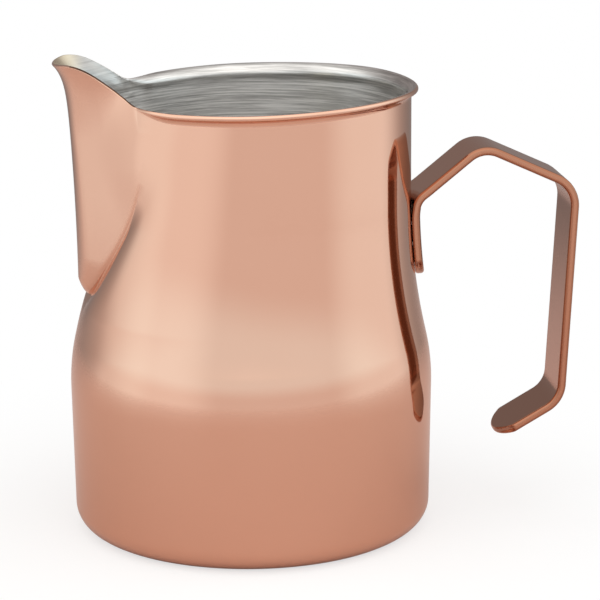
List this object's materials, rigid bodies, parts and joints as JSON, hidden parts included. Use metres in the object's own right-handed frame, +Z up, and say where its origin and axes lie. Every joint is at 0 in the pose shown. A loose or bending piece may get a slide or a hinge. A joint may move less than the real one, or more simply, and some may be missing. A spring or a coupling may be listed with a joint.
{
  "type": "milk frothing jug",
  "caption": "Open metal milk frothing jug with a rounded belly, a straight neck, a flared rim, a beak spout for pouring and an open angular strap handle welded to its shoulder.",
  "frame": {"origin": "middle of the base, on the table", "axes": "+Z up, the handle points along +X and the spout along -X"},
  "size_m": [0.1232, 0.086, 0.1119],
  "materials": {
    "copper_finish": "polished",
    "copper_bar": "polished",
    "weld_metal": "satin"
  },
  "bodies": {
    "root": {"jug_body": "copper_finish", "spout": "copper_finish", "spout_weld_seam": "copper_finish", "handle_strap": "copper_bar", "handle_weld_spots": "weld_metal"}
  },
  "joints": []
}
